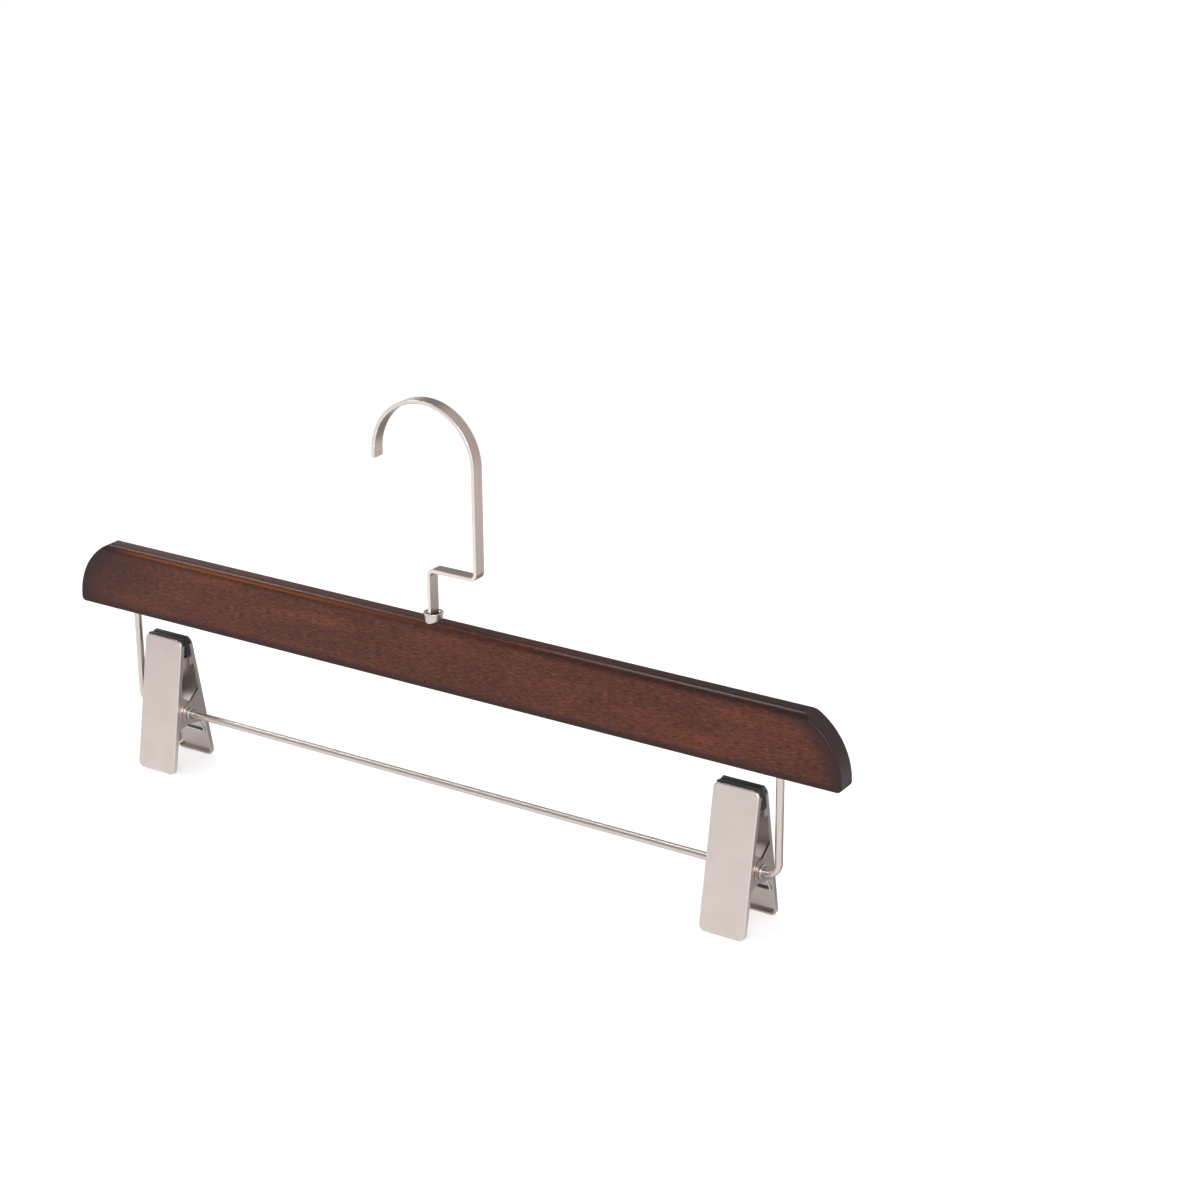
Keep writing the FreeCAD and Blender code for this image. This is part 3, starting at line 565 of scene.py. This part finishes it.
# Seamless paper, pressed and uncoated: a matt white that takes soft shadows
def white_seamless_paper():
    """The paper under the hanger, which is plain white further out and clear from below."""
    material, tree, output = new_material("white_seamless_paper")
    straight, mirrored = ray_kinds(tree)
    seen = add_node(tree, "ShaderNodeMath", {0: straight, 1: mirrored}, operation="MAXIMUM")
    place = add_node(tree, "ShaderNodeTexCoord").outputs["Object"]
    away = add_node(tree, "ShaderNodeVectorMath", {0: place}, operation="LENGTH").outputs["Value"]
    axes = add_node(tree, "ShaderNodeSeparateXYZ", {0: place})
    zones = {}
    for name, source, (begin, full) in (
        ("white", away, PAPER_WHITE_RADII),
        ("painted_shade_back", axes.outputs["Y"], PAINTED_SHADE_BACK),
        ("painted_shade_round", away, PAINTED_SHADE_RADII),
    ):
        zones[name] = add_node(tree, "ShaderNodeMapRange", {
            "Value": source, "From Min": begin, "From Max": full,
        }, interpolation_type="SMOOTHSTEP")
    paper = add_node(tree, "ShaderNodeBsdfDiffuse", {"Color": linear("#e0e0e0")})
    glow = add_node(tree, "ShaderNodeEmission", {"Color": WHITE, "Strength": PAPER_GLOW})
    near = add_node(tree, "ShaderNodeAddShader", {0: paper, 1: glow})
    white = add_node(tree, "ShaderNodeEmission", {"Color": WHITE, "Strength": 1.0})
    shown = add_node(tree, "ShaderNodeMixShader", {0: zones["white"], 1: near, 2: white})

    # Painted shade: a grey patch on the paper behind the clips, which only reflections see, darkens the
    # sides of the folded plates
    laid = add_node(tree, "ShaderNodeMath", {
        0: zones["painted_shade_back"], 1: zones["painted_shade_round"],
    }, operation="MULTIPLY")
    on_painted_shade = add_node(tree, "ShaderNodeMath", {0: laid, 1: mirrored}, operation="MULTIPLY")
    painted_shade = add_node(tree, "ShaderNodeEmission", {"Color": WHITE, "Strength": PAINTED_SHADE_LEVEL})
    dressed = add_node(tree, "ShaderNodeMixShader", {0: on_painted_shade, 1: shown, 2: painted_shade})

    # Other light meets plain paper, and from below the paper is clear
    upper = add_node(tree, "ShaderNodeMixShader", {0: seen, 1: paper, 2: dressed})
    below = add_node(tree, "ShaderNodeNewGeometry").outputs["Backfacing"]
    clear = add_node(tree, "ShaderNodeBsdfTransparent")
    surface = add_node(tree, "ShaderNodeMixShader", {0: below, 1: upper, 2: clear})
    tree.links.new(surface.outputs[0], output.inputs[0])
    return material


def add_floor():
    """A wide flat sheet of the paper, at the height that the clip handles stand on."""
    shape = bmesh.new()
    bmesh.ops.create_grid(shape, x_segments=1, y_segments=1, size=PAPER_HALF)
    mesh = bpy.data.meshes.new("studio_floor")
    shape.to_mesh(mesh)
    shape.free()
    floor = add_piece("studio_floor", mesh, white_seamless_paper())


def add_world():
    """White backdrop that eyes see all round.

    Reflections see a wall that is greyer to the left and, behind and above the hanger, two pale panels
    with a dark gap between them.
    """
    world = bpy.data.worlds.new("studio_world")
    world.use_nodes = True
    tree = world.node_tree
    tree.nodes.clear()
    straight, mirrored = ray_kinds(tree)
    way = add_node(tree, "ShaderNodeTexCoord").outputs["Generated"]
    axes = add_node(tree, "ShaderNodeSeparateXYZ", {0: way})

    # The part of a direction along an axis, where its shade begins and is full, and the levels at both
    shades = {}
    for name, axis, (begin, full), (low_level, high_level) in (
        ("wall", "X", (-0.68, -0.4), (0.6, 1.0)),
        ("left_panel", "X", (-0.56, -0.66), (0.35, 1.0)),
        ("right_panel", "X", (-0.36, -0.05), (0.35, 0.85)),
        ("behind", "Y", (-0.1, 0.3), (0.0, 1.0)),
        ("above", "Z", (0.0, 0.36), (0.0, 1.0)),
    ):
        shades[name] = add_node(tree, "ShaderNodeMapRange", {
            "Value": axes.outputs[axis], "From Min": begin, "From Max": full,
            "To Min": low_level, "To Max": high_level,
        }, interpolation_type="SMOOTHSTEP")
    panels = add_node(tree, "ShaderNodeMath", {
        0: shades["left_panel"], 1: shades["right_panel"],
    }, operation="MAXIMUM")
    away = add_node(tree, "ShaderNodeMath", {0: shades["behind"], 1: shades["above"]}, operation="MAXIMUM")
    level = add_node(tree, "ShaderNodeMix", {
        MIX_FACTOR: away, MIX_FIRST_NUMBER: shades["wall"], MIX_SECOND_NUMBER: panels,
    })
    fill = add_node(tree, "ShaderNodeBackground", {"Color": WHITE, "Strength": FILL_LEVEL})
    studio = add_node(tree, "ShaderNodeBackground", {"Color": WHITE, "Strength": level})
    white = add_node(tree, "ShaderNodeBackground", {"Color": WHITE, "Strength": 1.0})
    lit = add_node(tree, "ShaderNodeMixShader", {0: mirrored, 1: fill, 2: studio})
    shown = add_node(tree, "ShaderNodeMixShader", {0: straight, 1: lit, 2: white})
    output = add_node(tree, "ShaderNodeOutputWorld")
    tree.links.new(shown.outputs[0], output.inputs[0])
    bpy.context.scene.world = world


def add_softbox(name, place, width, height, power):
    """A rectangular studio lamp that faces the hanger."""
    lamp = bpy.data.lights.new(name, "AREA")
    lamp.shape = "RECTANGLE"
    lamp.size, lamp.size_y = width, height
    lamp.energy = power
    softbox = bpy.data.objects.new(name, lamp)
    bpy.context.scene.collection.objects.link(softbox)
    softbox.location = place
    softbox.rotation_mode = "QUATERNION"
    softbox.rotation_quaternion = (Vector(SOFTBOX_AIM) - Vector(place)).to_track_quat("-Z", "Y")


def add_studio():
    """Camera, paper, backdrop and softboxes: two overhead, one in front and a narrow one at the right."""
    add_camera()
    add_floor()
    add_world()
    for name, (place, width, height, power) in SOFTBOXES.items():
        add_softbox(name, place, width, height, power)
    bpy.context.scene.view_settings.view_transform = "Standard"


finish_cad_nodes()
for side in SIDES:
    for place in ("back", "front"):
        add_rubber_grip(side, place)
    add_spring(side)
add_studio()
